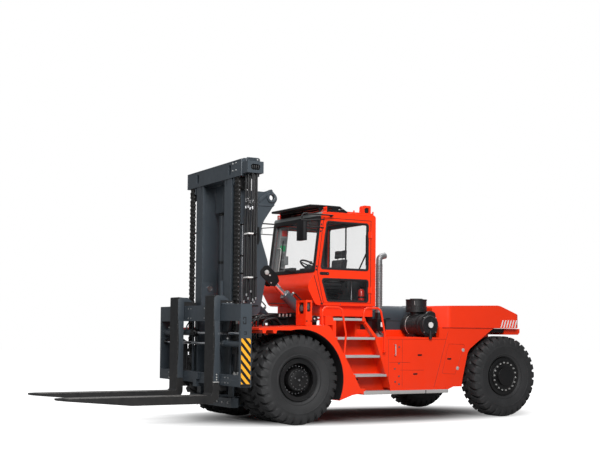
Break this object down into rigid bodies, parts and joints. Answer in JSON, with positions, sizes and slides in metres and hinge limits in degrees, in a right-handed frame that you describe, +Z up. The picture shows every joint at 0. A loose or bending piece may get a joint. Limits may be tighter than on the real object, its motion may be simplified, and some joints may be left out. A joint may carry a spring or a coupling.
{
  "type": "counterbalance forklift truck",
  "caption": "Heavy counterbalance forklift with two-stage mast, sliding forks, twin drive tyres, raised cab, engine hood and rear counterweight.",
  "frame": {"origin": "on the ground under the middle of the whole length, fork tips to rear tyres", "axes": "+X forward to the fork tips, +Y to the truck's left, +Z up"},
  "size_m": [9.7454, 3.57, 4.77],
  "materials": {
    "painted_orange": "gloss",
    "painted_slate": "satin",
    "painted_black": "satin",
    "engine_grey": "satin",
    "tyre_rubber": "matte",
    "chain_steel": "oiled",
    "hose_rubber": "matte",
    "chrome_rod": "polished",
    "stack_steel": "satin",
    "black_plastic": "satin",
    "seat_fabric": "woven",
    "cab_glass": "clear"
  },
  "bodies": {
    "chassis": {"chassis_frame": "painted_black", "deck_hoses": "hose_rubber", "drive_axle": "painted_black", "steer_axle": "painted_black", "left_fender": "painted_orange", "right_fender": "painted_orange", "left_side_body": "painted_orange", "right_side_body": "painted_orange", "left_steps": "painted_orange", "right_steps": "painted_orange", "handrails": "painted_orange", "counterweight": "painted_orange", "engine_bay": "painted_slate", "engine_block": "engine_grey", "exhaust_stack": "stack_steel", "air_cleaner": "black_plastic", "cab_shell": "painted_orange", "cab_glass": "cab_glass", "cab_guard": "painted_black", "steering_console": "black_plastic", "operator_seat": "seat_fabric", "lamp_posts": "painted_orange", "cab_mirrors": "painted_black"},
    "left_drive_wheel": {"left_outer_tyre": "tyre_rubber", "left_inner_tyre": "tyre_rubber", "left_drive_rims": "painted_black"},
    "right_drive_wheel": {"right_outer_tyre": "tyre_rubber", "right_inner_tyre": "tyre_rubber", "right_drive_rims": "painted_black"},
    "left_hub": {"left_knuckle": "painted_black"},
    "right_hub": {"right_knuckle": "painted_black"},
    "left_steer_wheel": {"left_steer_tyre": "tyre_rubber", "left_steer_rim": "painted_black"},
    "right_steer_wheel": {"right_steer_tyre": "tyre_rubber", "right_steer_rim": "painted_black"},
    "left_cab_door": {"left_door": "painted_orange", "left_door_glass": "cab_glass"},
    "right_cab_door": {"right_door": "painted_orange", "right_door_glass": "cab_glass"},
    "hood": {"engine_hood": "painted_slate"},
    "mast": {"left_mast_rail": "painted_slate", "right_mast_rail": "painted_slate", "mast_base": "painted_slate", "mast_ties": "painted_slate", "lift_barrels": "painted_slate"},
    "mast_stage": {"inner_mast": "painted_slate", "lift_chains": "chain_steel", "mast_hoses": "hose_rubber"},
    "fork_carriage": {"carriage": "painted_slate", "fork_positioner": "chrome_rod"},
    "left_fork_arm": {"left_fork": "painted_black"},
    "right_fork_arm": {"right_fork": "painted_black"},
    "left_tilt_tube": {"left_tilt_barrel": "painted_slate"},
    "right_tilt_tube": {"right_tilt_barrel": "painted_slate"},
    "left_tilt_piston": {"left_tilt_rod": "chrome_rod"},
    "right_tilt_piston": {"right_tilt_rod": "chrome_rod"}
  },
  "joints": [
    {"name": "left_drive_spin", "type": "hinge", "parent": "chassis", "child": "left_drive_wheel", "pos_m": [0.73475, 1.15, 0.8075], "axis": [0, 1, 0], "continuous": true},
    {"name": "right_drive_spin", "type": "hinge", "parent": "chassis", "child": "right_drive_wheel", "pos_m": [0.73475, -1.15, 0.8075], "axis": [0, 1, 0], "continuous": true},
    {"name": "left_steer", "type": "hinge", "parent": "chassis", "child": "left_hub", "pos_m": [-4.06525, 1.16, 0.8075], "axis": [0, 0, 1], "range_deg": [-50, 50]},
    {"name": "right_steer", "type": "hinge", "parent": "chassis", "child": "right_hub", "pos_m": [-4.06525, -1.16, 0.8075], "axis": [0, 0, 1], "range_deg": [-50, 50]},
    {"name": "left_steer_spin", "type": "hinge", "parent": "left_hub", "child": "left_steer_wheel", "pos_m": [-4.06525, 1.39, 0.8075], "axis": [0, 1, 0], "continuous": true},
    {"name": "right_steer_spin", "type": "hinge", "parent": "right_hub", "child": "right_steer_wheel", "pos_m": [-4.06525, -1.39, 0.8075], "axis": [0, 1, 0], "continuous": true},
    {"name": "left_door_swing", "type": "hinge", "parent": "chassis", "child": "left_cab_door", "pos_m": [-1.27625, 0.938, 2.9], "axis": [0, 0, 1], "range_deg": [0, 100]},
    {"name": "right_door_swing", "type": "hinge", "parent": "chassis", "child": "right_cab_door", "pos_m": [-1.27625, -0.938, 2.9], "axis": [0, 0, -1], "range_deg": [0, 100]},
    {"name": "hood_lift", "type": "hinge", "parent": "chassis", "child": "hood", "pos_m": [-2.47725, 0, 2.2], "axis": [0, -1, 0], "range_deg": [0, 60]},
    {"name": "mast_tilt", "type": "hinge", "parent": "chassis", "child": "mast", "pos_m": [0.73475, 0, 0.8075], "axis": [0, 1, 0], "range_deg": [-10, 6]},
    {"name": "mast_lift", "type": "slide", "parent": "mast", "child": "mast_stage", "axis": [0, 0, 1], "range_m": [-0.17, 1.85]},
    {"name": "carriage_lift", "type": "slide", "parent": "mast_stage", "child": "fork_carriage", "axis": [0, 0, 1], "range_m": [-0.17, 1.85]},
    {"name": "left_fork_shift", "type": "slide", "parent": "fork_carriage", "child": "left_fork_arm", "axis": [0, 1, 0], "range_m": [-0.45, 0.75]},
    {"name": "right_fork_shift", "type": "slide", "parent": "fork_carriage", "child": "right_fork_arm", "axis": [0, -1, 0], "range_m": [-0.45, 0.75]},
    {"name": "left_tilt_pivot", "type": "hinge", "parent": "chassis", "child": "left_tilt_tube", "pos_m": [0.08475, 0.795, 1.93], "axis": [0, 1, 0], "range_deg": [-12.7, 7.7]},
    {"name": "right_tilt_pivot", "type": "hinge", "parent": "chassis", "child": "right_tilt_tube", "pos_m": [0.08475, -0.795, 1.93], "axis": [0, 1, 0], "range_deg": [-12.7, 7.7]},
    {"name": "left_tilt_stroke", "type": "slide", "parent": "left_tilt_tube", "child": "left_tilt_piston", "axis": [0.7526, 0, 0.6584], "range_m": [-0.22, 0.133]},
    {"name": "right_tilt_stroke", "type": "slide", "parent": "right_tilt_tube", "child": "right_tilt_piston", "axis": [0.7526, 0, 0.6584], "range_m": [-0.22, 0.133]}
  ],
  "couplings": [
    {"joint": "right_steer", "follows": "left_steer", "ratio": 1},
    {"joint": "carriage_lift", "follows": "mast_lift", "ratio": 1},
    {"joint": "left_tilt_pivot", "follows": "mast_tilt", "ratio": 1.26},
    {"joint": "right_tilt_pivot", "follows": "mast_tilt", "ratio": 1.26},
    {"joint": "left_tilt_stroke", "follows": "mast_tilt", "m_per_rad": 1.25},
    {"joint": "right_tilt_stroke", "follows": "mast_tilt", "m_per_rad": 1.25}
  ]
}
